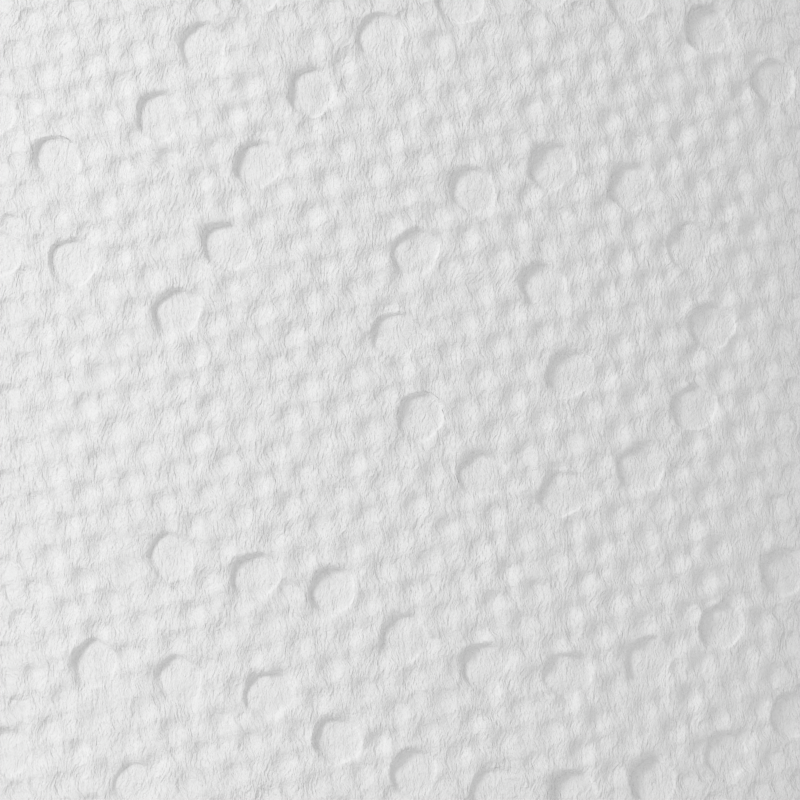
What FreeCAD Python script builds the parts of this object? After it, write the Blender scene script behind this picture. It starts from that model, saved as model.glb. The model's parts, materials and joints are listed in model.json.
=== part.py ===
"""Paper towel roll: a two-ply towel web wound on a board core, standing on its end.

The frame's origin is the middle of the bottom end, on the core's axis. +Z is up
along the core, and the web's free edge, its tail, is on the +X side.
"""

import FreeCAD, Part
import math
import os
import Sketcher

# Driving dimensions in millimetres: alias, value, what it is.
SIZES = [
    ("roll_width", 279.0, "width of the web, and the roll's height as it stands"),
    ("outer_radius", 63.5, "from the axis to the outside of the tail"),
    ("sheet_thickness", 0.65, "one embossed two-ply sheet, as wound"),
    ("core_bore", 20.7, "radius of the hole through the core"),
    ("core_wall", 0.6, "wall of the board core"),
]

# The outside of the last turn is made of this many arcs.
QUARTERS = 4

doc = FreeCAD.newDocument("paper_towel_roll")


def make_sheet():
    """Put each driving dimension in a row of its own, with its alias."""
    sheet = doc.addObject("Spreadsheet::Sheet", "Sizes")
    for row, (alias, value, meaning) in enumerate(SIZES, start=1):
        sheet.set(f"A{row}", alias)
        sheet.set(f"B{row}", str(value))
        sheet.set(f"C{row}", meaning)
        sheet.setAlias(f"B{row}", alias)
    doc.recompute()
    return sheet


def make_body(label):
    """An empty body in the roll's own frame."""
    body = doc.addObject("PartDesign::Body", label)
    body.Label = label
    body.Placement = FreeCAD.Placement()
    return body


def sketch_on_base(body, name):
    """A sketch on the plane that the roll stands on."""
    sketch = body.newObject("Sketcher::SketchObject", name)
    planes = body.Origin.OriginFeatures
    base_plane = [plane for plane in planes if plane.Role == "XY_Plane"][0]
    sketch.AttachmentSupport = [(base_plane, "")]
    sketch.MapMode = "FlatFace"
    return sketch


def drive(sketch, constraint, name, formula):
    """Add a constraint with a name, and bind its value to the driving dimensions."""
    index = sketch.addConstraint(constraint)
    sketch.renameConstraint(index, name)
    sketch.setExpression(f"Constraints.{name}", formula)


def add_circle(sketch, radius, name, formula):
    """A circle round the axis, with its radius bound to the driving dimensions."""
    middle = FreeCAD.Vector(0, 0, 0)
    circle = sketch.addGeometry(Part.Circle(middle, FreeCAD.Vector(0, 0, 1), radius))
    sketch.addConstraint(Sketcher.Constraint("Coincident", circle, 3, -1, 1))
    drive(sketch, Sketcher.Constraint("Radius", circle, radius), name, formula)


def add_spiral_turn(sketch, sizes):
    """The outside of the last turn: four tangent arcs that grow by one sheet.

    The arcs' centres are the corners of a square round the axis, a quarter of a
    sheet on a side, so each arc is a quarter of a sheet larger than the one before.
    """
    up = FreeCAD.Vector(0, 0, 1)
    half_sides = 2 * QUARTERS
    offset = sizes.sheet_thickness / half_sides
    corners = [(-offset, offset), (-offset, -offset), (offset, -offset), (offset, offset)]
    arcs = []
    for quarter, (x, y) in enumerate(corners):
        # How much of a sheet this arc's radius is short of the tail's outside.
        short_by = (2 * (QUARTERS - quarter) - 1) / half_sides
        radius = sizes.outer_radius - sizes.sheet_thickness * short_by
        circle = Part.Circle(FreeCAD.Vector(x, y, 0), up, radius)
        start = quarter * math.pi / 2
        arc = sketch.addGeometry(Part.ArcOfCircle(circle, start, start + math.pi / 2))
        formula = f"Sizes.outer_radius - Sizes.sheet_thickness * {short_by}"
        radius_rule = Sketcher.Constraint("Radius", arc, radius)
        drive(sketch, radius_rule, f"turn_radius_{quarter}", formula)
        arcs.append(arc)
    for before, after in zip(arcs, arcs[1:]):
        sketch.addConstraint(Sketcher.Constraint("Tangent", before, 2, after, 1))
    first, last = arcs[0], arcs[-1]
    # The arcs meet straight above, below and beside their centres.
    sketch.addConstraint(Sketcher.Constraint("Horizontal", first, 1, first, 3))
    for quarter, arc in enumerate(arcs):
        direction = "Vertical" if quarter % 2 == 0 else "Horizontal"
        sketch.addConstraint(Sketcher.Constraint(direction, arc, 2, arc, 3))
    offset_formula = f"Sizes.sheet_thickness / {half_sides}"
    to_axis = Sketcher.Constraint("DistanceX", first, 3, -1, 1, offset)
    drive(sketch, to_axis, "centre_offset_x", offset_formula)
    from_axis = Sketcher.Constraint("DistanceY", -1, 1, first, 3, offset)
    drive(sketch, from_axis, "centre_offset_y", offset_formula)
    # The tail's edge is the step from the start of the turn to its end.
    inside = FreeCAD.Vector(sizes.outer_radius - sizes.sheet_thickness, offset, 0)
    outside = FreeCAD.Vector(sizes.outer_radius, offset, 0)
    tail = sketch.addGeometry(Part.LineSegment(inside, outside))
    sketch.addConstraint(Sketcher.Constraint("Coincident", tail, 1, first, 1))
    sketch.addConstraint(Sketcher.Constraint("Coincident", tail, 2, last, 2))


def pad_to_width(body, sketch, name):
    """Raise a sketch from the base to the full width of the roll."""
    pad = body.newObject("PartDesign::Pad", name)
    pad.Profile = sketch
    pad.setExpression("Length", "Sizes.roll_width")
    sketch.Visibility = False
    return pad


def make_towel_web(sizes):
    """The wound turns as one solid, from the core to the outside of the tail."""
    body = make_body("towel_web")
    sketch = sketch_on_base(body, "web_outline")
    add_spiral_turn(sketch, sizes)
    inner_radius = sizes.core_bore + sizes.core_wall
    add_circle(sketch, inner_radius, "web_bore", "Sizes.core_bore + Sizes.core_wall")
    pad_to_width(body, sketch, "web_width")
    return body


def make_core_tube(sizes):
    """The board tube that the web is wound on, cut flush with the web."""
    body = make_body("core_tube")
    sketch = sketch_on_base(body, "core_outline")
    add_circle(sketch, sizes.core_bore + sizes.core_wall, "core_outside",
               "Sizes.core_bore + Sizes.core_wall")
    add_circle(sketch, sizes.core_bore, "core_inside", "Sizes.core_bore")
    pad_to_width(body, sketch, "core_width")
    return body


def check_model(bodies):
    """Stop if any object failed, or a sub-part isn't one valid solid."""
    for item in doc.Objects:
        failed = [state for state in item.State if state in ("Invalid", "Error")]
        if failed:
            raise RuntimeError(f"{item.Label} is {failed}")
    for body in bodies:
        shape = body.Shape
        if shape.isNull() or not shape.isValid() or len(shape.Solids) != 1:
            raise RuntimeError(f"{body.Label} is not one valid solid")


def main():
    sizes = make_sheet()
    bodies = [make_towel_web(sizes), make_core_tube(sizes)]
    doc.recompute()
    check_model(bodies)
    os.makedirs("parts", exist_ok=True)
    for body in bodies:
        body.Shape.exportStep(f"parts/{body.Label}.step")
        box = body.Shape.BoundBox
        size = (round(box.XLength, 3), round(box.YLength, 3), round(box.ZLength, 3))
        print(body.Label, "box", size, "volume", round(body.Shape.Volume, 1))


main()
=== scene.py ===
# %% [markdown]
# A roll of embossed paper towel, standing on its end. The photograph is a close-up
# of the towel's surface, about 24 mm wide, so most of this lesson is about paper:
# a woven imprint left by the fabric that dried it, round dots pressed in afterwards
# and the fibres themselves. The rest of the roll is finished around that patch.

# %% The frame that everything is fitted to
import json
import math
import random

import bmesh
import bpy
import numpy as np
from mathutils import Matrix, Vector


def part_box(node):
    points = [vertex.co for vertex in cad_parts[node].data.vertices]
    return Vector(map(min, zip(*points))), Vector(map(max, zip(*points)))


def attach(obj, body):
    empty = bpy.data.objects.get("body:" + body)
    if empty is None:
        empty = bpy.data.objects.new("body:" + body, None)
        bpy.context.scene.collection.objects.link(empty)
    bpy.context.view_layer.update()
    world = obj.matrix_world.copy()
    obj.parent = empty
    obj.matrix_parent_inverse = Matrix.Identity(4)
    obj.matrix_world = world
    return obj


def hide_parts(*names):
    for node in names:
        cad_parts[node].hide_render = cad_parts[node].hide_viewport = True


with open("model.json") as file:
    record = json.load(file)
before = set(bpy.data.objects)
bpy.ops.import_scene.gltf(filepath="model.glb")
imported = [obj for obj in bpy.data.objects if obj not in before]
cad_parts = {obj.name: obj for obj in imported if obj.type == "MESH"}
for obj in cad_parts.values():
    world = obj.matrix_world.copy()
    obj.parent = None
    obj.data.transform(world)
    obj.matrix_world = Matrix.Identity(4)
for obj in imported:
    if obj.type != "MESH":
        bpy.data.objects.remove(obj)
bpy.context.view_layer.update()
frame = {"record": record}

web_low, web_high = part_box("towel_web")
core_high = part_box("core_tube")[1]
bore = [mount for mount in frame["record"]["mounts"] if mount["name"] == "core_bore"][0]

MM = 0.001
ROLL_HEIGHT = web_high.z
OUTER_RADIUS = web_high.x
CORE_OUTSIDE = core_high.x
CORE_INSIDE = bore["dims"]["r_mm"] * MM
# Half a turn before its end, the web's outside is half a sheet nearer the axis.
SHEET_THICKNESS = 2 * (web_high.x + web_low.x)
FULL_TURN = 2 * math.pi
print("roll", ROLL_HEIGHT, "radius", OUTER_RADIUS, "sheet", round(SHEET_THICKNESS, 6))

# %% [markdown]
# The outer turn is a flat sheet before it is anything else, so its details are drawn
# on a flat plan and then rolled up by one formula. The plan is in millimetres, from
# the spot that the photograph shows: along the web to the right, and up. The roll
# grows by one sheet thickness a turn, which makes its outside a spiral.

# %% From the flat plan to the roll
SPOT_ANGLE = math.radians(275)
SPOT_HEIGHT = 0.150
TAIL_SHEET_LENGTH = 150.0


def radius_at(angle):
    """The outside of the last turn, counting the angle from under the tail's edge."""
    return OUTER_RADIUS - SHEET_THICKNESS * (1 - angle / FULL_TURN)


def length_to(angle):
    """How far the web runs along the outside of the last turn, in metres."""
    start = OUTER_RADIUS - SHEET_THICKNESS
    return start * angle + SHEET_THICKNESS * angle**2 / (2 * FULL_TURN)


def angle_after(length):
    """The angle at which the web has run that far: length_to turned round."""
    start = OUTER_RADIUS - SHEET_THICKNESS
    root = np.sqrt(start**2 + 2 * SHEET_THICKNESS * length / FULL_TURN)
    return (root - start) * FULL_TURN / SHEET_THICKNESS


SPOT_LENGTH = length_to(SPOT_ANGLE)
PLAN_START = -SPOT_LENGTH / MM
PLAN_END = (length_to(FULL_TURN) - SPOT_LENGTH) / MM
PLAN_BOTTOM = -SPOT_HEIGHT / MM
PLAN_TOP = (ROLL_HEIGHT - SPOT_HEIGHT) / MM


def roll_up(plan):
    """Plan places (along, up, out of the paper), in millimetres, as places on the roll."""
    angle = angle_after(SPOT_LENGTH + plan[:, 0] * MM)
    radius = radius_at(angle) + plan[:, 2] * MM
    height = SPOT_HEIGHT + plan[:, 1] * MM
    return np.stack([radius * np.cos(angle), radius * np.sin(angle), height], axis=1)


print("outer turn", round(PLAN_START, 1), "to", round(PLAN_END, 1), "mm on the plan")

# %% [markdown]
# The dots are pressed in along rings, like ripples round a drop. Each ripple mark has
# a pair of dots, a ring of twelve and two wide rings that open towards the marks on
# either side, where their lines run on. One mark is drawn with arcs and short straight
# runs, and copies of it are laid out in slanting rows. A dot is left out where it
# would crowd one that is already there.

# %% The pattern of dots
DOT_SPACING = 3.8
DOT_CLEARANCE = 3.2
EDGE_CLEARANCE = 1.6
MARK_CENTRE = (7.22, 3.15)
MARK_TO_NEXT = (36.0, 8.0)
MARK_TO_UPPER = (-8.0, 45.0)


def dots_on_arc(radius, first_degrees, step_degrees, count):
    """Dots along a ring round the middle of a mark."""
    turns = [math.radians(first_degrees + step_degrees * k) for k in range(count)]
    return [(radius * math.cos(turn), radius * math.sin(turn)) for turn in turns]


def dots_on_run(first, step, count):
    """Dots along a straight run."""
    return [(first[0] + step[0] * k, first[1] + step[1] * k) for k in range(count)]


def ripple_mark():
    """One mark's dots, from its middle outwards."""
    pair = dots_on_arc(2.05, 108, 180, 2)
    ring_of_twelve = dots_on_arc(7.4, 1.8, 30, 12)
    upper_ring = dots_on_arc(15.5, 166, -14.8, 9)
    lower_ring = dots_on_arc(15.6, 228.8, 14.3, 9)
    upper_outer = dots_on_arc(20.5, 152, -10.2, 11)
    lower_outer = dots_on_arc(21.0, 231.2, 10.25, 11)
    lower_run = dots_on_run((-13.75, -11.05), (-3.8, 0.84), 2)
    upper_run = dots_on_run((-17.3, 0.8), (-3.2, -2.2), 1)
    outer_run = dots_on_run((-17.2, -15.75), (-3.85, 0.7), 2)
    right_run = dots_on_run((13.9, 11.05), (3.6, -0.85), 2)
    inner_dots = pair + ring_of_twelve + upper_ring + lower_ring
    return inner_dots + upper_outer + lower_outer + lower_run + upper_run + outer_run + right_run


def mark_centres():
    """The middles of all marks that reach the outer turn, the photographed one first."""
    centres = []
    for across in range(-12, 13):
        for up in range(-6, 7):
            x = MARK_CENTRE[0] + across * MARK_TO_NEXT[0] + up * MARK_TO_UPPER[0]
            y = MARK_CENTRE[1] + across * MARK_TO_NEXT[1] + up * MARK_TO_UPPER[1]
            centres.append((abs(across) + abs(up), x, y))
    return [(x, y) for _, x, y in sorted(centres)]


def lay_out_dots(edges):
    """Every dot of the outer turn that is clear of the others and of the sheets' edges."""
    kept = np.empty((0, 2))
    for centre_x, centre_y in mark_centres():
        for dx, dy in ripple_mark():
            x, y = centre_x + dx, centre_y + dy
            inside = PLAN_BOTTOM + EDGE_CLEARANCE < y < PLAN_TOP - EDGE_CLEARANCE
            inside = inside and PLAN_START < x < PLAN_END
            clear = min(abs(x - edge) for edge in edges) > EDGE_CLEARANCE
            if not (inside and clear):
                continue
            if len(kept) and np.hypot(kept[:, 0] - x, kept[:, 1] - y).min() < DOT_CLEARANCE:
                continue
            kept = np.vstack([kept, (x, y)])
    return kept


SHEET_EDGES = [PLAN_END - TAIL_SHEET_LENGTH * k for k in range(3)] + [PLAN_START]
dots = lay_out_dots(SHEET_EDGES)
dice = random.Random(11)
dot_shapes = [
    {
        "depth": dice.uniform(0.1, 0.16),
        "phases": (dice.uniform(0, FULL_TURN), dice.uniform(0, FULL_TURN)),
        "lean": (dice.uniform(-0.62, -0.32), dice.uniform(0.18, 0.42)),
    }
    for _ in dots
]
# The numbers of the dots that a sheet's grid turns out to have no room for.
left_out = set()
print("dots on the outer turn", len(dots))

# %% [markdown]
# Shader maths reads like a sum in a book once a socket knows the usual operators.
# `Field` wraps one socket, and each operator adds the Math node that it stands for.
# A formula written with these operators also works on a numpy array, so the woven
# imprint below is one formula that shapes the mesh and feeds the shader's bump.


# %% Sockets that can be added and multiplied
class Field:
    """A number that varies over a surface, as the output of a node."""

    def __init__(self, finish, socket):
        self.finish = finish
        self.socket = socket

    def __add__(self, other):
        return self.finish.math("ADD", self, other)

    def __sub__(self, other):
        return self.finish.math("SUBTRACT", self, other)

    def __rsub__(self, other):
        return self.finish.math("SUBTRACT", other, self)

    def __mul__(self, other):
        return self.finish.math("MULTIPLY", self, other)

    def __truediv__(self, other):
        return self.finish.math("DIVIDE", self, other)

    __radd__ = __add__
    __rmul__ = __mul__


class Finish:
    """One material, and the short calls that fill its node tree."""

    def __init__(self, name):
        self.material = bpy.data.materials.new(name)
        self.material.use_nodes = True
        self.tree = self.material.node_tree
        self.shader = self.tree.nodes["Principled BSDF"]

    def node(self, kind, settings, sockets):
        """A node with its settings made first, and then its sockets filled or linked."""
        made = self.tree.nodes.new(kind)
        for key, value in settings.items():
            setattr(made, key, value)
        for key, value in sockets.items():
            if isinstance(value, Field):
                self.tree.links.new(value.socket, made.inputs[key])
            else:
                made.inputs[key].default_value = value
        return made

    def field(self, made, output=0):
        """One output of a node as a field."""
        return Field(self, made.outputs[output])

    def math(self, operation, *values):
        """A Math node's result."""
        sockets = dict(enumerate(values))
        return self.field(self.node("ShaderNodeMath", {"operation": operation}, sockets))

    def vector(self, x, y, z):
        """Three numbers as one vector."""
        sockets = {"X": x, "Y": y, "Z": z}
        return self.field(self.node("ShaderNodeCombineXYZ", {}, sockets))

    def parts(self, vector):
        """The three numbers of a vector."""
        made = self.node("ShaderNodeSeparateXYZ", {}, {0: vector})
        return [self.field(made, k) for k in range(3)]

    def attribute(self, name, output):
        """A value that is stored on the mesh."""
        settings = {"attribute_type": "GEOMETRY", "attribute_name": name}
        return self.field(self.node("ShaderNodeAttribute", settings, {}), output)

    def noise(self, place, scale, detail=2.0, roughness=0.5):
        """Soft noise, from 0 to 1 and mostly near a half."""
        sockets = {"Vector": place, "Scale": scale, "Detail": detail, "Roughness": roughness}
        made = self.node("ShaderNodeTexNoise", {"noise_dimensions": "3D"}, sockets)
        return self.field(made, "Fac")

    def blend(self, amount, first, second):
        """A colour between two fixed ones, by a field."""
        made = self.node("ShaderNodeMix", {"data_type": "RGBA"}, {0: amount})
        colours_in = [socket for socket in made.inputs if socket.type == "RGBA"]
        for socket, colour in zip(colours_in, (first, second)):
            socket.default_value = colour
        colour_out = [socket for socket in made.outputs if socket.type == "RGBA"][0]
        return Field(self, colour_out)

    def bump(self, height_in_metres):
        """Feed a height to the shader's normal."""
        sockets = {"Strength": 1.0, "Distance": 1.0, "Height": height_in_metres}
        made = self.node("ShaderNodeBump", {}, sockets)
        self.tree.links.new(made.outputs["Normal"], self.shader.inputs["Normal"])

    def set(self, name, value):
        """Fill or link one of the shader's own sockets."""
        if isinstance(value, Field):
            self.tree.links.new(value.socket, self.shader.inputs[name])
        else:
            self.shader.inputs[name].default_value = value


def whole(value):
    """The nearest whole number, of a field or an array."""
    if isinstance(value, Field):
        return value.finish.math("ROUND", value)
    return np.round(value)


def no_less_than_zero(value):
    """The value where it is above zero, of a field or an array."""
    if isinstance(value, Field):
        return value.finish.math("MAXIMUM", value, 0.0)
    return np.maximum(value, 0.0)


print("field operators ready")

# %% [markdown]
# The towel is dried on a coarse woven fabric, and carries its imprint: a long float
# where a cross yarn passes over, a knuckle below its left end, and pockets where the
# paper was sucked down between the yarns. One repeat has five such marks. Each is a
# soft oval bump with a named size, and the repeat steps along two slanting lines.

# %% The woven imprint
FLOAT_STEP_ACROSS = (2.156, 0.474)
FLOAT_STEP_DOWN = (-0.741, -1.452)
FIRST_FLOAT = (1.927, -1.136)
WEAVE_HEIGHT = 0.053
# How much of a mark is drawn up to a peak. The rest of it is a plain dome.
WEAVE_PEAK = 0.15
# Height against the float's, middle from the float's middle, half sizes and lean.
WEAVE_MARKS = {
    "float": (1.0, (0.0, 0.0), (0.93, 0.43), 0.78),
    "knuckle": (0.77, (-0.51, -0.45), (0.49, 0.75), -0.40),
    "pocket": (-1.66, (0.25, -0.73), (0.56, 0.60), 0.0),
    "rib": (0.74, (0.70, -0.85), (0.50, 0.68), 0.0),
    "small_pocket": (-1.09, (1.17, -0.31), (0.43, 0.43), 0.0),
}


def weave_mark(along, up, middle, half_sizes, lean):
    """One soft oval, repeated over the whole web."""
    x = along - (FIRST_FLOAT[0] + middle[0])
    y = up - (FIRST_FLOAT[1] + middle[1])
    (ax, ay), (bx, by) = FLOAT_STEP_ACROSS, FLOAT_STEP_DOWN
    area = ax * by - bx * ay
    across = x * (by / area) - y * (bx / area)
    down = y * (ax / area) - x * (ay / area)
    across = across - whole(across)
    down = down - whole(down)
    x = across * ax + down * bx
    y = across * ay + down * by
    x = (x + y * lean) * (1 / half_sizes[0])
    y = y * (1 / half_sizes[1])
    inside = no_less_than_zero(1 - x * x - y * y)
    return inside * (inside * WEAVE_PEAK + (1 - WEAVE_PEAK))


def weave(along, up):
    """The imprint's height in millimetres, about the paper's middle."""
    total = 0.0
    for height, middle, half_sizes, lean in WEAVE_MARKS.values():
        mark = weave_mark(along, up, middle, half_sizes, lean)
        total = mark * (height * WEAVE_HEIGHT) + total
    return total


steps = np.linspace(0, 20, 400)
sample = weave(*np.meshgrid(steps, steps))
print("weave from", sample.min().round(3), "to", sample.max().round(3), "mm")

# %% [markdown]
# Real paper is never quite regular. A dozen or so slanting waves, with directions from
# a seeded generator, make the soft puckers between the dots. Other sets of waves vary
# the imprint's depth and let its threads wander a little.

# %% Puckers


def make_waves(seed, count, shortest, longest):
    """Wave directions, lengths and phases, drawn from a seeded generator."""
    draw = random.Random(seed)
    waves = []
    for _ in range(count):
        turn = draw.uniform(0, math.pi)
        length = draw.uniform(shortest, longest)
        frequency = FULL_TURN / length
        waves.append((math.cos(turn) * frequency, math.sin(turn) * frequency,
                      draw.uniform(0, FULL_TURN), length / longest))
    return waves


def sum_of_waves(waves, along, up):
    """The waves added up, roughly from -1 to 1."""
    total = 0.0
    for across, rise, phase, weight in waves:
        total = total + weight * np.sin(across * along + rise * up + phase)
    return total / math.sqrt(len(waves))


WAVE_COUNT = 14
PUCKERS = make_waves(3, WAVE_COUNT, 2.6, 9.0)
STRENGTH_WAVES = make_waves(5, WAVE_COUNT, 1.6, 5.0)
DRIFT_WAVES = (make_waves(8, WAVE_COUNT, 1.6, 6.0), make_waves(9, WAVE_COUNT, 1.6, 6.0))
PUCKER_HEIGHT = 0.02
WEAVE_VARIATION = 0.4
WEAVE_DRIFT = 0.13
PAPER_LEVEL = -0.13
print("waves in each set", WAVE_COUNT)

# %% [markdown]
# A dot is a flat-bottomed dimple about 2 mm across, with a steep wall. The embossing
# steel isn't perfectly level, so each floor leans a little and each rim is lumpy.
# Inside a dot the imprint is pressed almost flat.

# %% The height of the paper
DOT_RADIUS = 1.04
DOT_WALL = 0.13
DOT_REACH = 1.5
LUMPS = (0.03, 0.02)
# The dots in the photograph have lumpier rims than the coarse grid's rings can hold.
SHOWN_HALF = 16.0
SHOWN_LUMPS = 2.0
PRESSED_WEAVE = 0.35


def lumpy_radius(number, turn):
    """How far a dot's edge is from its middle, in a direction."""
    first, second = dot_shapes[number]["phases"]
    lumps = LUMPS[0] * np.sin(2 * turn + first) + LUMPS[1] * np.sin(5 * turn + second)
    shown = np.abs(dots[number]).max() < SHOWN_HALF
    return DOT_RADIUS * (1 + lumps * (SHOWN_LUMPS if shown else 1))


def emboss(along, up):
    """Depth of the dots, and how far the paper is pressed flat, at each place."""
    depth = np.zeros_like(along)
    pressed = np.zeros_like(along)
    order = np.argsort(along)
    sorted_along = along[order]
    for number, (x, y) in enumerate(dots):
        if number in left_out:
            continue
        low, high = np.searchsorted(sorted_along, (x - DOT_REACH, x + DOT_REACH))
        near = order[low:high]
        near = near[np.abs(up[near] - y) < DOT_REACH]
        dx, dy = along[near] - x, up[near] - y
        edge = lumpy_radius(number, np.arctan2(dy, dx))
        inside = np.clip((edge - np.hypot(dx, dy)) / DOT_WALL + 0.5, 0, 1)
        inside = inside * inside * (3 - 2 * inside)
        shape = dot_shapes[number]
        lean = 1 + shape["lean"][0] * dx + shape["lean"][1] * dy
        depth[near] -= shape["depth"] * inside * lean
        pressed[near] = np.maximum(pressed[near], inside)
    return depth, pressed


def paper_height(along, up, fine):
    """Height in millimetres from the roll's outside. fine is 1 where the mesh is fine."""
    depth, pressed = emboss(along, up)
    strength = 1 + WEAVE_VARIATION * sum_of_waves(STRENGTH_WAVES, along, up)
    drift_x = along + WEAVE_DRIFT * sum_of_waves(DRIFT_WAVES[0], along, up)
    drift_y = up + WEAVE_DRIFT * sum_of_waves(DRIFT_WAVES[1], along, up)
    imprint = weave(drift_x, drift_y) * strength
    imprint = imprint * fine * (1 - (1 - PRESSED_WEAVE) * pressed)
    pucker = PUCKER_HEIGHT * sum_of_waves(PUCKERS, along, up)
    height = np.minimum(PAPER_LEVEL + pucker + imprint + depth, 0.0)
    return height, pressed


print("paper height ready")

# %% [markdown]
# The outer turn is made of three sheets that tear apart along perforations, so each is
# a piece here too. Each starts as a flat grid that also remembers every corner's column
# and row. The corner nearest to a dot is moved onto it and the others relax, so that
# every dot has four cells of its own round one corner.

# %% A flat grid with a corner on each dot
GRID = 2.0
RELAX_STEPS = 4
RELAX_ROUNDS = 8
CORNER_CLEARANCE = 1.6


def flat_grid(start, end):
    """A grid of about 2 mm cells over one sheet, and how many columns and rows it has."""
    columns = round((end - start) / GRID)
    rows = round((PLAN_TOP - PLAN_BOTTOM) / GRID)
    bm = bmesh.new()
    address = bm.verts.layers.float_vector.new("address")
    bmesh.ops.create_grid(bm, x_segments=columns, y_segments=rows, size=0.5)
    for vert in bm.verts:
        vert[address] = ((vert.co.x + 0.5) * columns, (vert.co.y + 0.5) * rows, 0)
    bmesh.ops.scale(bm, verts=bm.verts, vec=(end - start, PLAN_TOP - PLAN_BOTTOM, 1))
    middle = ((start + end) / 2, (PLAN_TOP + PLAN_BOTTOM) / 2, 0)
    bmesh.ops.translate(bm, verts=bm.verts, vec=middle)
    return bm, columns, rows


def free_corner(column, row, columns, rows, taken):
    """The nearest corner with no dot at it or next to it, or else the nearest."""
    choices = []
    for i in (math.floor(column), math.ceil(column)):
        for j in (math.floor(row), math.ceil(row)):
            if 0 < i < columns and 0 < j < rows:
                beside = [(i + m, j + n) for m in (-1, 0, 1) for n in (-1, 0, 1)]
                crowded = any(corner in taken for corner in beside)
                choices.append((crowded, math.hypot(column - i, row - j), (i, j)))
    return min(choices)[2]


def clear_dots(kept_still):
    """Push corners that have come too near to a dot straight away from it."""
    for corner in kept_still:
        around = {vert for face in corner.link_faces for vert in face.verts} - kept_still
        for vert in around:
            away = vert.co - corner.co
            if away.length < CORNER_CLEARANCE and not vert.is_boundary:
                vert.co = corner.co + away.normalized() * CORNER_CLEARANCE


def snap_to_dots(bm, columns, rows, start, end):
    """Move the nearest corner onto each dot and relax the rest. Corner by dot number."""
    address = bm.verts.layers.float_vector["address"]
    corner_at = {(round(v[address].x), round(v[address].y)): v for v in bm.verts}
    held = {}
    taken = set()
    for number, (x, y) in enumerate(dots):
        if start < x < end and number not in left_out:
            column = (x - start) * columns / (end - start)
            row = (y - PLAN_BOTTOM) * rows / (PLAN_TOP - PLAN_BOTTOM)
            key = free_corner(column, row, columns, rows, taken)
            taken.add(key)
            corner_at[key].co = (x, y, 0)
            held[number] = corner_at[key]
    kept_still = set(held.values())
    free = [v for v in bm.verts if v not in kept_still and not v.is_boundary]
    for _ in range(RELAX_ROUNDS):
        for _ in range(RELAX_STEPS):
            bmesh.ops.smooth_vert(bm, verts=free, factor=0.5, use_axis_x=True, use_axis_y=True)
        clear_dots(kept_still)
    return held


print("grid cells of", GRID, "mm")

# %% [markdown]
# Where the photograph looks, each cell is divided, finely enough for the mesh itself to
# carry the woven imprint. A dot's four cells are divided together or not at all.

# %% The finely divided window
FINE_CUTS = 11
WINDOW_MIDDLE = (0.45, 0.0)
WINDOW_HALF = 18.6


def window_cells(bm, held):
    """The cells that the photograph looks at, with whole dots."""
    cells = set()
    for face in bm.faces:
        place = face.calc_center_median()
        off = max(abs(place.x - WINDOW_MIDDLE[0]), abs(place.y - WINDOW_MIDDLE[1]))
        if off < WINDOW_HALF:
            cells.add(face)
    growing = bool(cells)
    while growing:
        growing = False
        for corner in held.values():
            around = set(corner.link_faces)
            if around & cells and not around <= cells:
                cells |= around
                growing = True
    return cells


def divide_window(bm, held):
    """Divide the window's cells. Returns the numbers of the dots in it."""
    cells = window_cells(bm, held)
    fine_dots = [n for n, corner in held.items() if corner.link_faces[0] in cells]
    edges = list({edge for face in cells for edge in face.edges})
    if edges:
        bmesh.ops.subdivide_edges(bm, edges=edges, cuts=FINE_CUTS, use_grid_fill=True)
    return fine_dots


print("fine cells of", GRID / (FINE_CUTS + 1), "mm")

# %% [markdown]
# Outside the window, a vertex bevel opens each dot's corner to a ring of twelve, which
# is set on a slightly lumpy circle, and an inset turns it into a wall and a floor.
# That is a few dozen faces a dot, which matters with more than three thousand of them.
# A few pairs of dots leave the grid so little room that a face comes out folded over.
# Such a face gives away the dot that is to be left out.

# %% Opening the dots
RIM_CORNERS = 12
BEVEL_OFFSET = 0.8
FOLDED = -1e-6


def set_on_circle(face, number):
    """Space a ring's corners evenly along the dot's rim."""
    x, y = dots[number]
    step = FULL_TURN / RIM_CORNERS
    turns = [math.atan2(v.co.y - y, v.co.x - x) for v in face.verts]
    sideways = sum(math.sin(turn - step * k) for k, turn in enumerate(turns))
    forward = sum(math.cos(turn - step * k) for k, turn in enumerate(turns))
    first = math.atan2(sideways, forward)
    for k, vert in enumerate(face.verts):
        turn = first + step * k
        rim = lumpy_radius(number, turn) + DOT_WALL / 2
        vert.co = (x + rim * math.cos(turn), y + rim * math.sin(turn), 0)


def open_dots(bm, held_at, fine_dots):
    """Give each dot outside the window a rim, a wall and a floor."""
    fine = set(fine_dots)
    numbers = [number for number in held_at if number not in fine]
    address = bm.verts.layers.float_vector["address"]
    whole_address = {tuple(vert[address]): vert for vert in bm.verts}
    corners = [whole_address[held_at[number]] for number in numbers]
    made = bmesh.ops.bevel(bm, geom=corners, offset=BEVEL_OFFSET, offset_type="OFFSET",
                           affect="VERTICES", segments=3, profile=0.5, material=-1)
    rings = bmesh.ops.dissolve_faces(bm, faces=made["faces"], use_verts=False)["region"]
    places = dots[numbers]
    for face in rings:
        middle = face.calc_center_median()
        nearest = np.hypot(places[:, 0] - middle.x, places[:, 1] - middle.y).argmin()
        set_on_circle(face, numbers[nearest])
        for edge in face.edges:
            edge.smooth = False
    bmesh.ops.inset_individual(bm, faces=rings, thickness=DOT_WALL, use_even_offset=True)
    for face in rings:
        for edge in face.edges:
            edge.smooth = False
    return len(rings)


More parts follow.
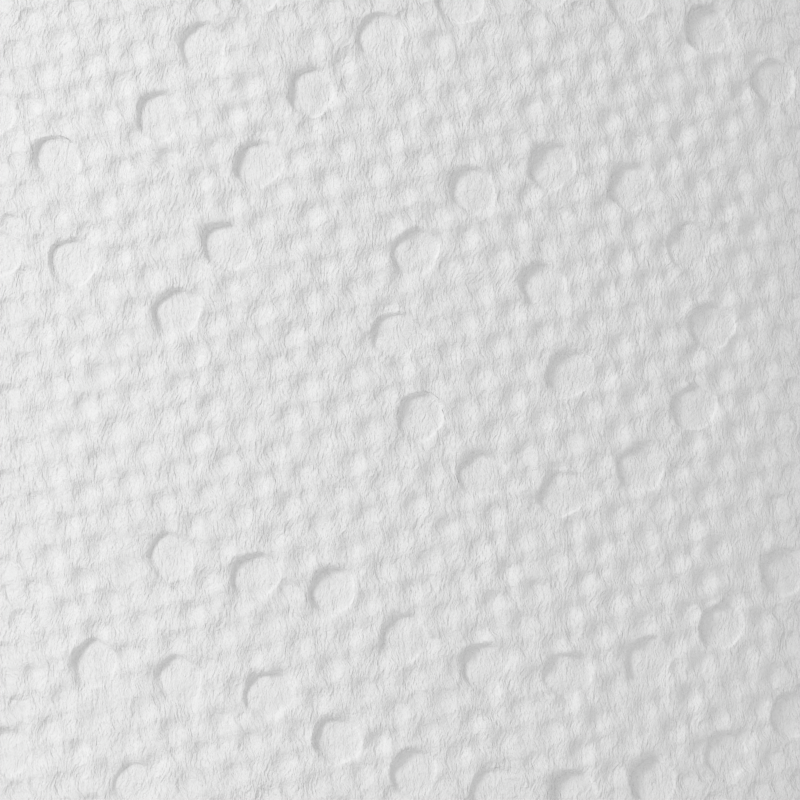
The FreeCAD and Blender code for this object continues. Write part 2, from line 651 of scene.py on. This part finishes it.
def dots_at_folds(bm, held_at, fine_dots):
    """The dots outside the window that are nearest to faces folded over on the plan."""
    numbers = sorted(set(held_at) - set(fine_dots))
    places = dots[numbers]
    found = set()
    for loops in bm.calc_loop_triangles():
        a, b, c = [loop.vert.co for loop in loops]
        if (b - a).cross(c - a).z < FOLDED:
            middle = (a + b + c) / 3
            nearest = np.hypot(places[:, 0] - middle.x, places[:, 1] - middle.y).argmin()
            found.add(numbers[nearest])
    return found


print("corners round a rim", RIM_CORNERS)

# %% [markdown]
# A sheet is a closed shell, because a surface without a back has no inside. The top
# and bottom edges are turned in, a bridge between them makes the back, and the two
# long sides are filled.

# %% The back of a sheet
BACK_LEVEL = -0.62
SAME_ROW = 0.01


def turn_in(bm, edges):
    """Extrude an edge of the sheet straight back. Returns the new boundary edges."""
    made = bmesh.ops.extrude_edge_only(bm, edges=edges)["geom"]
    corners = {item for item in made if isinstance(item, bmesh.types.BMVert)}
    bmesh.ops.translate(bm, verts=list(corners), vec=(0, 0, BACK_LEVEL))
    new_edges = [item for item in made if isinstance(item, bmesh.types.BMEdge)]
    return [edge for edge in new_edges if set(edge.verts) <= corners]


def face_outwards(bm):
    """Turn a closed shell's faces outwards, by the sign of its volume."""
    bmesh.ops.recalc_face_normals(bm, faces=bm.faces)
    if bm.calc_volume(signed=True) < 0:
        bmesh.ops.reverse_faces(bm, faces=bm.faces)


def close_shell(bm, rows):
    """Give the sheet a back and four sides."""
    address = bm.verts.layers.float_vector["address"]
    boundary = [edge for edge in bm.edges if edge.is_boundary]
    for edge in boundary:
        edge.smooth = False
    back_edges = []
    for row in (0, rows):
        line = [edge for edge in boundary
                if all(abs(vert[address].y - row) < SAME_ROW for vert in edge.verts)]
        back_edges += turn_in(bm, line)
    bmesh.ops.bridge_loops(bm, edges=back_edges)
    open_edges = [edge for edge in bm.edges if edge.is_boundary]
    for edge in open_edges:
        edge.smooth = False
    bmesh.ops.holes_fill(bm, edges=open_edges, sides=0)
    face_outwards(bm)


print("back at", BACK_LEVEL, "mm")

# %% [markdown]
# The fine grid round a dot in the window is drawn into circles, so that the rim and
# the floor's edge run along its lines instead of across them. A perforation is a row
# of short slits with bonds between them: the sheet's edge stands back at each slit.

# %% Fitting the fine grid to its dots, and cutting the slits
FLOOR_LOOP = 5 / 12
RIM_LOOP = 7 / 12
BOND_EVERY = 4
SLIT_HALF_WIDTH = 0.13


def draw_circles(plan, address, held_at, fine_dots):
    """Pull the fine grid into circles round each dot of the window."""
    for number in fine_dots:
        x, y = dots[number]
        a = address[:, 0] - held_at[number][0]
        b = address[:, 1] - held_at[number][1]
        square = np.maximum(np.abs(a), np.abs(b))
        near = np.flatnonzero((square < 0.999) & (square > 0.001))
        a, b, square = a[near], b[near], square[near]
        turn = np.arctan2(b, a)
        edge = lumpy_radius(number, turn)
        radii = (edge * 0, edge - DOT_WALL / 2, edge + DOT_WALL / 2)
        inner = radii[1] * np.minimum(square / FLOOR_LOOP, 1)
        wall = np.clip((square - FLOOR_LOOP) / (RIM_LOOP - FLOOR_LOOP), 0, 1) * DOT_WALL
        radius = inner + wall
        ring = np.stack([x + radius * np.cos(turn), y + radius * np.sin(turn)], axis=1)
        border = np.array([[x, y]]) + (plan[near, :2] - (x, y)) / square[:, None]
        outwards = np.clip((square - RIM_LOOP) / (1 - RIM_LOOP), 0, 1)[:, None]
        plan[near, :2] = ring * (1 - outwards) + border * outwards


def cut_slits(plan, address, columns):
    """Set the sheet's two long edges back between their bonds."""
    slit = np.rint(address[:, 1]) % BOND_EVERY != 0
    plan[slit & (address[:, 0] < SAME_ROW), 0] += SLIT_HALF_WIDTH
    plan[slit & (address[:, 0] > columns - SAME_ROW), 0] -= SLIT_HALF_WIDTH


print("slit and bond every", BOND_EVERY * GRID, "mm")

# %% [markdown]
# Then the flat shell gets its heights and is rolled up. Two values stay on the mesh for
# the material: the plan's own coordinates with how much imprint is left to the bump,
# and how far each place is pressed flat. A sheet that comes out with folds is made
# again without the dots at them.

# %% From flat shell to sheet on the roll
FADE = 1.0
MESH_SHARE = 0.65


def window_weight(along, up):
    """1 in the window, 0 outside, and a soft border."""
    off = np.maximum(np.abs(along - WINDOW_MIDDLE[0]), np.abs(up - WINDOW_MIDDLE[1]))
    return np.clip((WINDOW_HALF - FADE - off) / FADE, 0, 1)


def read_vectors(data, key, count):
    """A mesh's positions or an attribute's vectors as an array."""
    values = np.empty(count * 3, dtype=np.float32)
    data.foreach_get(key, values)
    return values.reshape(-1, 3).astype(float)


def shape_sheet(mesh, columns, held_at, fine_dots):
    """Give the flat shell its heights, and roll it up."""
    count = len(mesh.vertices)
    plan = read_vectors(mesh.vertices, "co", count)
    address = read_vectors(mesh.attributes["address"].data, "vector", count)
    draw_circles(plan, address, held_at, fine_dots)
    cut_slits(plan, address, columns)
    fine = window_weight(plan[:, 0], plan[:, 1]) if fine_dots else np.zeros(count)
    height, pressed = paper_height(plan[:, 0], plan[:, 1], fine)
    front = plan[:, 2] > BACK_LEVEL / 2
    plan[front, 2] = height[front]
    left_to_bump = (1 - MESH_SHARE * fine) * (1 - (1 - PRESSED_WEAVE) * pressed)
    unrolled = np.stack([plan[:, 0], plan[:, 1], left_to_bump], axis=1)
    made = mesh.attributes.new("unrolled", "FLOAT_VECTOR", "POINT")
    made.data.foreach_set("vector", unrolled.ravel().astype(np.float32))
    made = mesh.attributes.new("pressed", "FLOAT", "POINT")
    made.data.foreach_set("value", pressed.astype(np.float32))
    mesh.vertices.foreach_set("co", roll_up(plan).ravel().astype(np.float32))
    mesh.attributes.remove(mesh.attributes["address"])
    mesh.update()


def mesh_from(bm, name):
    """Write a bmesh to a new mesh, with smooth faces. Sharp edges stay sharp."""
    mesh = bpy.data.meshes.new(name)
    bm.to_mesh(mesh)
    bm.free()
    mesh.polygons.foreach_set("use_smooth", [True] * len(mesh.polygons))
    return mesh


def triangles(mesh):
    """How many triangles a mesh has."""
    return sum(len(polygon.vertices) - 2 for polygon in mesh.polygons)


def make_sheet(name, start, end):
    """One perforated sheet of the outer turn."""
    while True:
        bm, columns, rows = flat_grid(start, end)
        held = snap_to_dots(bm, columns, rows, start, end)
        address = bm.verts.layers.float_vector["address"]
        held_at = {number: tuple(corner[address]) for number, corner in held.items()}
        fine_dots = divide_window(bm, held)
        opened = open_dots(bm, held_at, fine_dots)
        crowded = dots_at_folds(bm, held_at, fine_dots)
        if not crowded:
            break
        left_out.update(crowded)
        bm.free()
    close_shell(bm, rows)
    mesh = mesh_from(bm, name)
    shape_sheet(mesh, columns, held_at, fine_dots)
    print(name, "dots", opened, "and", len(fine_dots), "triangles", triangles(mesh))
    return mesh


sheet_meshes = {}
for sheet_name, end_edge, start_edge in zip(
        ("tail_sheet", "second_sheet", "third_sheet"), SHEET_EDGES, SHEET_EDGES[1:]):
    sheet_meshes[sheet_name] = make_sheet(sheet_name, start_edge, end_edge)
print("dots left out for want of room", len(left_out))

# %% [markdown]
# Below the outer turn lie some sixty more, which show only at the two ends. There a
# saw has cut the web, and each turn is two soft plies with a gap between them and a
# deeper one to the next turn. A section through all turns is spun round the axis, and
# each step of the spin moves it outwards a little, by one sheet after a full turn, so
# that every turn runs on into the next and the whole is one spiral.

# %% The wound turns
SPIN_STEPS = 120
PLIES = ((0.0, -0.45), (0.22, -0.04), (0.5, -0.18), (0.78, -0.04))
TURNS_OUTSIDE = OUTER_RADIUS - 2 * SHEET_THICKNESS
TURNS = int((TURNS_OUTSIDE - CORE_OUTSIDE) / SHEET_THICKNESS)
FIRST_GAP = TURNS_OUTSIDE - TURNS * SHEET_THICKNESS
END_WAVES = make_waves(21, 12, 0.03, 0.16)
SHIFT_WAVES = make_waves(22, 8, 0.05, 0.3)
END_ROUGHNESS = 0.11
TURN_SHIFT = 0.07
OVALNESS = 0.35
OVAL_SIDES = 3
OVAL_TWIST = 5
TOP_CUT = 0.02
LAST_DEPTH = -0.1
WAVE_RISE = 0.37
PLY_SHIFT = 0.04
LEAST_ROUGH = 0.3
ANGLE_SLACK = 1e-4
WELD = 1e-6


def turn_wave(waves, turns):
    """A wave along the web, by how many turns it has been wound."""
    return sum_of_waves(waves, turns, turns * WAVE_RISE)


def section_columns():
    """Each column of the section: its turn number and its place among the plies."""
    columns = [(-1, 0.0, 0.0)]
    for turn in range(TURNS):
        columns += [(turn, across, depth) for across, depth in PLIES]
    columns.append((TURNS, 0.0, LAST_DEPTH))
    return np.array(columns)


def make_turns():
    """All turns under the outer one as one closed body."""
    columns = section_columns()
    last = len(columns) - 1
    bm = bmesh.new()
    bmesh.ops.create_grid(bm, x_segments=last, y_segments=1, size=0.5)
    bmesh.ops.delete(bm, geom=bm.faces[:], context="FACES_KEEP_BOUNDARY")
    for vert in bm.verts:
        vert.co = (1 + round((vert.co.x + 0.5) * last), 0, vert.co.y)
    first_ring = len(bm.verts)
    bmesh.ops.spin(bm, geom=bm.verts[:] + bm.edges[:], cent=(0, 0, 0), axis=(0, 0, 1),
                   dvec=(0, 0, 0), angle=FULL_TURN, steps=SPIN_STEPS, use_merge=False)
    wind(bm, columns, first_ring)
    bmesh.ops.remove_doubles(bm, verts=bm.verts, dist=WELD)
    bmesh.ops.holes_fill(bm, edges=[e for e in bm.edges if e.is_boundary], sides=0)
    face_outwards(bm)
    mesh = mesh_from(bm, "wound_turns")
    print("wound turns", TURNS, "triangles", triangles(mesh))
    return mesh


def wind(bm, columns, first_ring):
    """Move the spun section's corners to the spiral, and roughen its two ends."""
    places = np.array([tuple(vert.co) for vert in bm.verts])
    angle = np.mod(np.arctan2(places[:, 1], places[:, 0]), FULL_TURN)
    angle[angle > FULL_TURN - ANGLE_SLACK] = 0
    ended = angle < ANGLE_SLACK
    ended[:first_ring] = False
    angle[ended] = FULL_TURN
    column = np.rint(np.hypot(places[:, 0], places[:, 1])).astype(int) - 1
    turn, across, depth = columns[column].T
    at_core = turn < 0
    wound = turn + angle / FULL_TURN
    radius = FIRST_GAP + SHEET_THICKNESS * (wound + across)
    depth_share = (radius - CORE_OUTSIDE) / (TURNS_OUTSIDE - CORE_OUTSIDE)
    hidden = np.clip(depth_share * (1 - depth_share) * 4, 0, 1)
    radius += hidden * MM * TURN_SHIFT * turn_wave(SHIFT_WAVES, wound)
    radius += hidden * MM * OVALNESS * np.sin(OVAL_SIDES * angle + OVAL_TWIST * depth_share)
    rough = END_ROUGHNESS * turn_wave(END_WAVES, wound + across * PLY_SHIFT)
    rough = rough * (LEAST_ROUGH + hidden)
    sunk = np.minimum(depth + rough, -TOP_CUT) * MM
    radius[at_core] = CORE_OUTSIDE
    sunk[at_core] = 0
    height = np.where(places[:, 2] > 0, ROLL_HEIGHT + sunk, -sunk)
    for vert, x, y, z in zip(bm.verts, radius * np.cos(angle), radius * np.sin(angle), height):
        vert.co = (x, y, z)


turns_mesh = make_turns()

# %% [markdown]
# The core is a tube wound on the slant from strips of board, which leaves a shallow
# helical seam inside and out. The wall's thin section is spun round the axis, the
# corners at its start are set back as a notch, and the whole tube is twisted, which
# turns the straight notch into the helix.

# %% The board core
CORE_SIDES = 96
CORE_STEPS = 120
SEAM_PITCH = 0.12
SEAM_DEPTH = 0.00012
SEAM_HALF_WIDTH = 0.0004
SAME_LEVEL = 1e-5


def place_on_core(corner):
    """Notch the tube where two strips of board meet, and twist it as it rises."""
    x, y, z = corner
    turn = math.atan2(y, x)
    column = round(turn * CORE_SIDES / FULL_TURN)
    outside = math.hypot(x, y) > (CORE_INSIDE + CORE_OUTSIDE) / 2
    radius = CORE_OUTSIDE if outside else CORE_INSIDE
    if abs(column) == 1:
        turn = column * SEAM_HALF_WIDTH / radius
    if column == 0:
        radius += -SEAM_DEPTH if outside else SEAM_DEPTH
    turn += FULL_TURN * z / SEAM_PITCH
    return radius * math.cos(turn), radius * math.sin(turn), z


def make_core():
    """The tube: the wall's section spun once round the axis."""
    bm = bmesh.new()
    bmesh.ops.create_grid(bm, x_segments=1, y_segments=CORE_STEPS, size=0.5)
    bmesh.ops.delete(bm, geom=bm.faces[:], context="FACES_KEEP_BOUNDARY")
    for vert in bm.verts:
        radius = CORE_OUTSIDE if vert.co.x > 0 else CORE_INSIDE
        vert.co = (radius, 0, (vert.co.y + 0.5) * ROLL_HEIGHT)
    bmesh.ops.spin(bm, geom=bm.verts[:] + bm.edges[:], cent=(0, 0, 0), axis=(0, 0, 1),
                   dvec=(0, 0, 0), angle=FULL_TURN, steps=CORE_SIDES, use_merge=True)
    for vert in bm.verts:
        vert.co = place_on_core(vert.co)
    for level in (0, ROLL_HEIGHT):
        for edge in bm.edges:
            if all(abs(vert.co.z - level) < SAME_LEVEL for vert in edge.verts):
                edge.smooth = False
    face_outwards(bm)
    mesh = mesh_from(bm, "board_core")
    print("board core triangles", triangles(mesh))
    return mesh


core_mesh = make_core()

# %% [markdown]
# Towel paper is white with hardly any shine, so its look is all in the relief. The
# bump has three parts: the woven imprint where the mesh is too coarse for it, the
# fibres, which lie mostly along the web's machine direction and show as fine streaks,
# and a grain finer than they are. The dots' floors are pressed smooth.

# %% Towel paper
PAPER_WHITE = 0.76
CLOUDINESS = 0.02
PAPER_ROUGHNESS = 0.95
PAPER_SPECULAR = 0.2
FIBRE_HEIGHT = 0.09
CROSS_FIBRE_HEIGHT = 0.012
GRAIN_HEIGHT = 0.034
CREASE_HEIGHT = 0.022
PRESSED_FIBRES = 0.2
FIBRES_PER_MM = 6.5
FIBRE_STRETCH = 3.8
WANDER = 1.6
BEND = 0.7
CROSS_BEND = 0.5
CROSS_TILT = (0.94, 0.34)
RIDGE_SHARPNESS = 7
# Patches a millimetre along and up, the slice of the noise, its detail and roughness.
NOISES = {
    "wander": ((0.35, 0.25), 1.7, 1.0, 0.5),
    "bend": ((1.1, 0.9), 5.1, 1.0, 0.5),
    "long fibres": ((FIBRES_PER_MM, FIBRES_PER_MM / FIBRE_STRETCH), 0.0, 2.0, 0.6),
    "cross fibres": ((FIBRES_PER_MM * 0.8, 0.9), 7.0, 2.0, 0.55),
    "grain": ((16.0, 11.0), 2.0, 1.0, 0.6),
    "creases": ((1.5, 1.0), 4.0, 2.0, 0.6),
    "clouds": ((0.6, 0.6), 9.0, 3.0, 0.6),
}


def noise_on_plan(name, x, y):
    """One of the paper's noises, over the plan or over a bent copy of it."""
    (per_mm_along, per_mm_up), slice_at, detail, roughness = NOISES[name]
    place = towel.vector(x * per_mm_along, y * per_mm_up, slice_at)
    return towel.noise(place, 1.0, detail, roughness)


def ridges(noise):
    """Thin crests along the middle level of a noise, from 0 to 1."""
    off = noise.finish.math("ABSOLUTE", noise - 0.5)
    return no_less_than_zero(1 - off * RIDGE_SHARPNESS)


def grey(value):
    """A colour without a hue."""
    return (value, value, value, 1)


towel = Finish("towel_paper")
along, up, left_to_bump = towel.parts(towel.attribute("unrolled", "Vector"))
pressed = towel.attribute("pressed", "Fac")
bend = noise_on_plan("bend", along, up)
fibre_x = along + noise_on_plan("wander", along, up) * WANDER + bend * BEND
cross_x = along * CROSS_TILT[0] + up * CROSS_TILT[1] + bend * CROSS_BEND
cross_y = up * CROSS_TILT[0] - along * CROSS_TILT[1]
fibres = noise_on_plan("long fibres", fibre_x, up) * FIBRE_HEIGHT
cross_fibres = ridges(noise_on_plan("cross fibres", cross_x, cross_y)) * CROSS_FIBRE_HEIGHT
creases = ridges(noise_on_plan("creases", fibre_x, up)) * CREASE_HEIGHT
grain = noise_on_plan("grain", along, up) * GRAIN_HEIGHT
loose = 1 - pressed * PRESSED_FIBRES
relief = (fibres + cross_fibres + creases) * loose + grain
relief = relief + weave(along, up) * left_to_bump
towel.bump(relief * MM)
brightest = grey(PAPER_WHITE * (1 + CLOUDINESS))
darkest = grey(PAPER_WHITE * (1 - CLOUDINESS))
towel.set("Base Color", towel.blend(noise_on_plan("clouds", along, up), darkest, brightest))
towel.set("Roughness", PAPER_ROUGHNESS)
towel.set("Specular IOR Level", PAPER_SPECULAR)
print("towel paper nodes", len(towel.tree.nodes))

# %% [markdown]
# At the cut ends the same paper shows its edges, as a fine fuzz in soft patches. It
# looks darker between the plies only because light gets lost there.

# %% Cut ends
FUZZ_PER_METRE = 2600.0
FUZZ_HEIGHT = 0.05
PATCHES_PER_METRE = 160.0
PATCH_HEIGHT = 0.06
cut_end = Finish("towel_cut_end")
place = cut_end.field(cut_end.node("ShaderNodeTexCoord", {}, {}), "Object")
fuzz = cut_end.noise(place, FUZZ_PER_METRE, 3.0, 0.6)
patches = cut_end.noise(place, PATCHES_PER_METRE)
cut_end.bump(fuzz * (FUZZ_HEIGHT * MM) + patches * (PATCH_HEIGHT * MM))
cut_end.set("Base Color", cut_end.blend(patches, darkest, brightest))
cut_end.set("Roughness", PAPER_ROUGHNESS)
cut_end.set("Specular IOR Level", PAPER_SPECULAR)
print("cut end nodes", len(cut_end.tree.nodes))

# %% [markdown]
# The core's board is unbleached: brown, with darker and lighter flecks drawn out
# upwards, and a matte, slightly fibrous face.

# %% Core board
BOARD_BROWN = (0.42, 0.30, 0.19, 1)
BOARD_PALE = (0.56, 0.43, 0.29, 1)
BOARD_ROUGHNESS = 0.85
BOARD_SPECULAR = 0.3
FLECKS_PER_METRE = (900.0, 900.0, 160.0)
FLECK_CONTRAST = 1.6
FLECK_HEIGHT = 0.06
BLOTCHES_PER_METRE = 60.0
BLOTCH_SHARE = 0.8
board = Finish("core_board")
place = board.field(board.node("ShaderNodeTexCoord", {}, {}), "Object")
stretch = board.node("ShaderNodeMapping", {}, {"Vector": place, "Scale": FLECKS_PER_METRE})
flecks = board.noise(board.field(stretch), 1.0, 4.0, 0.65)
blotches = board.noise(place, BLOTCHES_PER_METRE)
tone = no_less_than_zero((flecks - 0.5) * FLECK_CONTRAST + blotches * BLOTCH_SHARE)
board.set("Base Color", board.blend(tone, BOARD_BROWN, BOARD_PALE))
board.bump(flecks * (FLECK_HEIGHT * MM))
board.set("Roughness", BOARD_ROUGHNESS)
board.set("Specular IOR Level", BOARD_SPECULAR)
print("board nodes", len(board.tree.nodes))

# %% [markdown]
# Each piece is placed by its mesh, so its object stays at the origin. All of them ride
# on the one body, and the sheets and turns together stand for the CAD web.

# %% Placing the pieces


def add_object(name, data):
    """Put a mesh, a camera or a lamp in the scene."""
    made = bpy.data.objects.new(name, data)
    bpy.context.scene.collection.objects.link(made)
    return made


def place_piece(name, mesh, finish, node):
    """Put a mesh in the scene as a piece that stands for a CAD node."""
    piece = add_object(name, mesh)
    mesh.materials.append(finish.material)
    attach(piece, "root")
    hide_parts(node)
    return piece


place_piece("wound_turns", turns_mesh, cut_end, "towel_web")
place_piece("board_core", core_mesh, board, "core_tube")
for (name, mesh), end_edge, start_edge in zip(
        sheet_meshes.items(), SHEET_EDGES, SHEET_EDGES[1:]):
    piece = place_piece(name, mesh, towel, "towel_web")
    flat_size = ((end_edge - start_edge) * MM, ROLL_HEIGHT)
print("pieces placed", 2 + len(sheet_meshes))

# %% [markdown]
# The photograph is a close-up taken almost square on. The camera stands 200 mm from the
# towel, 5 degrees to the right of the roll's front, where the roll's curve turns the
# light off to the right as it does in the photograph.

# %% Camera
CAMERA_DISTANCE = 0.200
spot = roll_up(np.array([[0.0, 0.0, PAPER_LEVEL]]))[0]
camera_data = bpy.data.cameras.new("camera")
camera_data.lens = 200
camera_data.sensor_width = 36
camera_data.clip_start = 0.01
camera = add_object("camera", camera_data)
camera.location = (spot[0], spot[1] - CAMERA_DISTANCE, spot[2])
camera.rotation_euler = (math.pi / 2, 0, 0)
bpy.context.scene.camera = camera
print("camera looks at", [round(float(v), 4) for v in spot])

# %% [markdown]
# Most of the light comes softly from all round, and one soft lamp from the upper left
# grazes the paper, so that every thread and rim shows. A second one does the same for
# the roll's back, and doesn't reach the photographed side. The floor and the background
# are plain and pale. The camera sees the background lighter than it lights the roll.

# %% Light and floor
AMBIENT = 0.745
KEY_POWER = 1.43
KEY_FROM = (-0.72, -0.52, 0.5)
KEY_DISTANCE = 0.55
BACK_POWER = 1.5
BACK_FROM = (0.75, 0.9, 0.5)
BACK_DISTANCE = 0.75
LAMP_SIZE = 0.14
FLOOR_SIZE = 6.0
FLOOR_GREY = 0.8
FLOOR_ROUGHNESS = 0.9
WHITE = (1, 1, 1, 1)


def add_lamp(name, power, direction, distance):
    """A soft square lamp that shines on the photographed spot's height of the roll."""
    lamp_data = bpy.data.lights.new(name, "AREA")
    lamp_data.energy = power
    lamp_data.size = LAMP_SIZE
    lamp = add_object(name, lamp_data)
    towards = Vector(direction).normalized()
    lamp.location = Vector(spot) + towards * distance
    lamp.rotation_euler = towards.to_track_quat("Z", "Y").to_euler()
    lamp.visible_camera = False


add_lamp("key", KEY_POWER, KEY_FROM, KEY_DISTANCE)
add_lamp("back", BACK_POWER, BACK_FROM, BACK_DISTANCE)

world = bpy.data.worlds.new("studio")
bpy.context.scene.world = world
world.use_nodes = True
nodes, links = world.node_tree.nodes, world.node_tree.links
soft_light = nodes["Background"]
soft_light.inputs["Color"].default_value = WHITE
soft_light.inputs["Strength"].default_value = AMBIENT
backdrop = nodes.new("ShaderNodeBackground")
backdrop.inputs["Color"].default_value = WHITE
rays = nodes.new("ShaderNodeLightPath")
seen = nodes.new("ShaderNodeMath")
seen.operation = "MAXIMUM"
links.new(rays.outputs["Is Camera Ray"], seen.inputs[0])
links.new(rays.outputs["Is Glossy Ray"], seen.inputs[1])
choose = nodes.new("ShaderNodeMixShader")
links.new(seen.outputs[0], choose.inputs[0])
links.new(soft_light.outputs[0], choose.inputs[1])
links.new(backdrop.outputs[0], choose.inputs[2])
links.new(choose.outputs[0], nodes["World Output"].inputs["Surface"])

bm = bmesh.new()
bmesh.ops.create_grid(bm, x_segments=1, y_segments=1, size=FLOOR_SIZE / 2)
floor_mesh = mesh_from(bm, "floor")
floor_finish = Finish("floor_pale")
floor_finish.set("Base Color", grey(FLOOR_GREY))
floor_finish.set("Roughness", FLOOR_ROUGHNESS)
floor_mesh.materials.append(floor_finish.material)
add_object("floor", floor_mesh)
bpy.context.scene.view_settings.view_transform = "Standard"
print("light level", AMBIENT, "and key", KEY_POWER)
